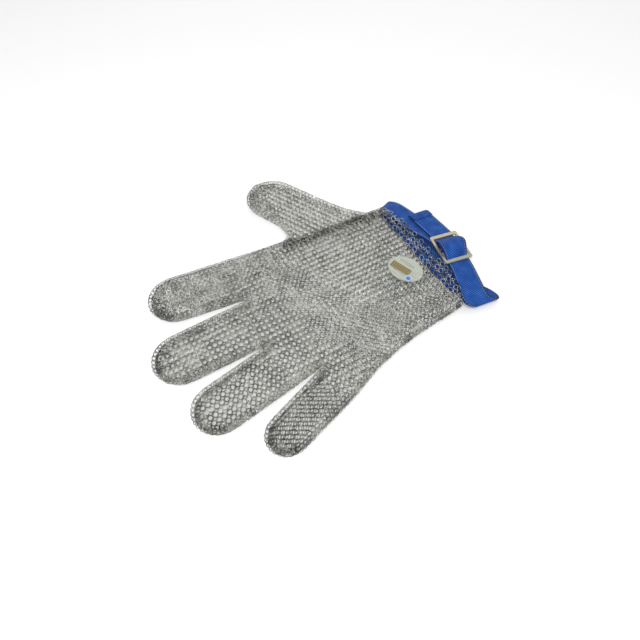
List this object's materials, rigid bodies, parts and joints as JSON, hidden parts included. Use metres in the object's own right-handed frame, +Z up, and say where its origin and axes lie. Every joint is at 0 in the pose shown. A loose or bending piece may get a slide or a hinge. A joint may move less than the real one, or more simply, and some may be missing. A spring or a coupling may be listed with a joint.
{
  "type": "cut resistant glove",
  "caption": "Five-finger cut resistant glove of welded steel ring mesh, lying flat, with a blue woven wrist strap, slide buckle and oval size tag.",
  "frame": {"origin": "middle of the cuff's mouth, on the surface that the glove lies on", "axes": "+Y from the wrist to the fingertips, +X towards the thumb, +Z up, out of the palm side"},
  "size_m": [0.2295, 0.2501, 0.017],
  "materials": {
    "ring_steel": "welded ring mesh, satin",
    "strap_blue": "woven webbing",
    "buckle_metal": "satin nickel",
    "tag_metal": "satin",
    "label_gold": "printed",
    "dot_blue": "printed",
    "dot_pale": "printed"
  },
  "bodies": {
    "hand": {"hand_palm": "ring_steel", "hand_back": "ring_steel", "strap_band": "strap_blue", "buckle_frame": "buckle_metal", "buckle_centre_bar": "buckle_metal", "tag_plate": "tag_metal", "tag_label": "label_gold", "tag_size_dot": "dot_blue", "tag_dot_rim": "dot_pale"},
    "index_base": {"index_base_palm": "ring_steel", "index_base_back": "ring_steel"},
    "index_tip": {"index_tip_palm": "ring_steel", "index_tip_back": "ring_steel"},
    "middle_base": {"middle_base_palm": "ring_steel", "middle_base_back": "ring_steel"},
    "middle_tip": {"middle_tip_palm": "ring_steel", "middle_tip_back": "ring_steel"},
    "ring_base": {"ring_base_palm": "ring_steel", "ring_base_back": "ring_steel"},
    "ring_tip": {"ring_tip_palm": "ring_steel", "ring_tip_back": "ring_steel"},
    "little_base": {"little_base_palm": "ring_steel", "little_base_back": "ring_steel"},
    "little_tip": {"little_tip_palm": "ring_steel", "little_tip_back": "ring_steel"},
    "thumb_base": {"thumb_base_palm": "ring_steel", "thumb_base_back": "ring_steel"},
    "thumb_tip": {"thumb_tip_palm": "ring_steel", "thumb_tip_back": "ring_steel"},
    "strap_end": {"strap_tail": "strap_blue", "tail_hem": "strap_blue"}
  },
  "joints": [
    {"name": "index_root_bend", "type": "hinge", "parent": "hand", "child": "index_base", "pos_m": [0.0479, 0.1311, 0.0044], "axis": [0.9936, -0.1132, 0], "range_deg": [0, 80]},
    {"name": "index_middle_bend", "type": "hinge", "parent": "index_base", "child": "index_tip", "pos_m": [0.05155, 0.16309, 0.0044], "axis": [0.9936, -0.1132, 0], "range_deg": [0, 75]},
    {"name": "middle_root_bend", "type": "hinge", "parent": "hand", "child": "middle_base", "pos_m": [0.0048, 0.1392, 0.0044], "axis": [0.9996, 0.0297, 0], "range_deg": [0, 80]},
    {"name": "middle_middle_bend", "type": "hinge", "parent": "middle_base", "child": "middle_tip", "pos_m": [0.00374, 0.17488, 0.0044], "axis": [0.9996, 0.0297, 0], "range_deg": [0, 75]},
    {"name": "ring_root_bend", "type": "hinge", "parent": "hand", "child": "ring_base", "pos_m": [-0.0352, 0.1375, 0.0044], "axis": [0.9848, 0.1736, 0], "range_deg": [0, 80]},
    {"name": "ring_middle_bend", "type": "hinge", "parent": "ring_base", "child": "ring_tip", "pos_m": [-0.04095, 0.1701, 0.0044], "axis": [0.9848, 0.1736, 0], "range_deg": [0, 75]},
    {"name": "little_root_bend", "type": "hinge", "parent": "hand", "child": "little_base", "pos_m": [-0.0666, 0.1136, 0.0044], "axis": [0.9455, 0.3256, 0], "range_deg": [0, 80]},
    {"name": "little_middle_bend", "type": "hinge", "parent": "little_base", "child": "little_tip", "pos_m": [-0.07624, 0.14159, 0.0044], "axis": [0.9455, 0.3256, 0], "range_deg": [0, 75]},
    {"name": "thumb_fold", "type": "hinge", "parent": "hand", "child": "thumb_base", "pos_m": [0.06025, 0.0452, 0.0044], "axis": [-0.0816, -0.9967, 0], "range_deg": [0, 95]},
    {"name": "thumb_middle_bend", "type": "hinge", "parent": "thumb_base", "child": "thumb_tip", "pos_m": [0.0931, 0.0596, 0.0044], "axis": [0.454, -0.891, 0], "range_deg": [0, 75]},
    {"name": "strap_tail_lift", "type": "hinge", "parent": "hand", "child": "strap_end", "pos_m": [0.0044, -0.0244, 0.011], "axis": [-0.1392, -0.9903, 0], "range_deg": [0, 100]}
  ]
}
